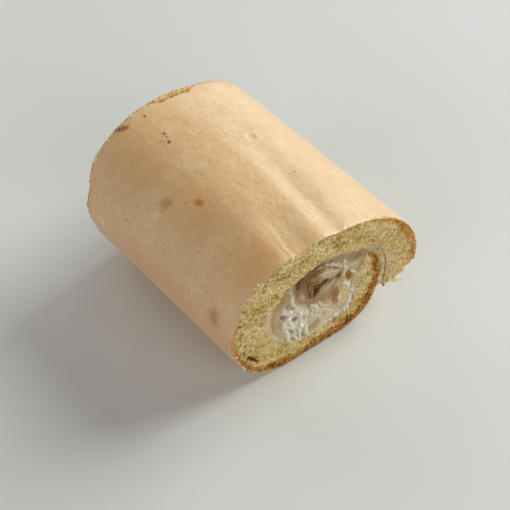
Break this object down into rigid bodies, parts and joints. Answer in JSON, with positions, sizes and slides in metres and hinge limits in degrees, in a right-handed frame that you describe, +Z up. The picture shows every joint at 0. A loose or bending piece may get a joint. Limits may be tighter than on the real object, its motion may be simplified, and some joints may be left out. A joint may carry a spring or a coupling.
{
  "type": "swiss roll cake",
  "caption": "Short length of swiss roll: a browned sponge sheet rolled round whipped cream and soft fruit, cut across at both ends.",
  "frame": {"origin": "middle of the underside of the bounding box, on the surface the roll rests on", "axes": "+Y along the roll, away from the cut face that shows the filling best; +Z up; +X towards the flap's side"},
  "size_m": [0.0842, 0.0868, 0.0658],
  "materials": {
    "sponge": "baked sponge: smooth tan crust outside, yellow open crumb where cut",
    "cream": "whipped cream, satin, smooth at one side and airy at the other",
    "fruit_pulp": "soft browned fruit, moist and fibrous",
    "fruit_flesh": "pale yellow fruit, moist"
  },
  "bodies": {
    "root": {"sponge_sheet": "sponge", "cream_filling": "cream", "fruit_core": "fruit_pulp", "fruit_slice": "fruit_flesh"}
  },
  "joints": []
}
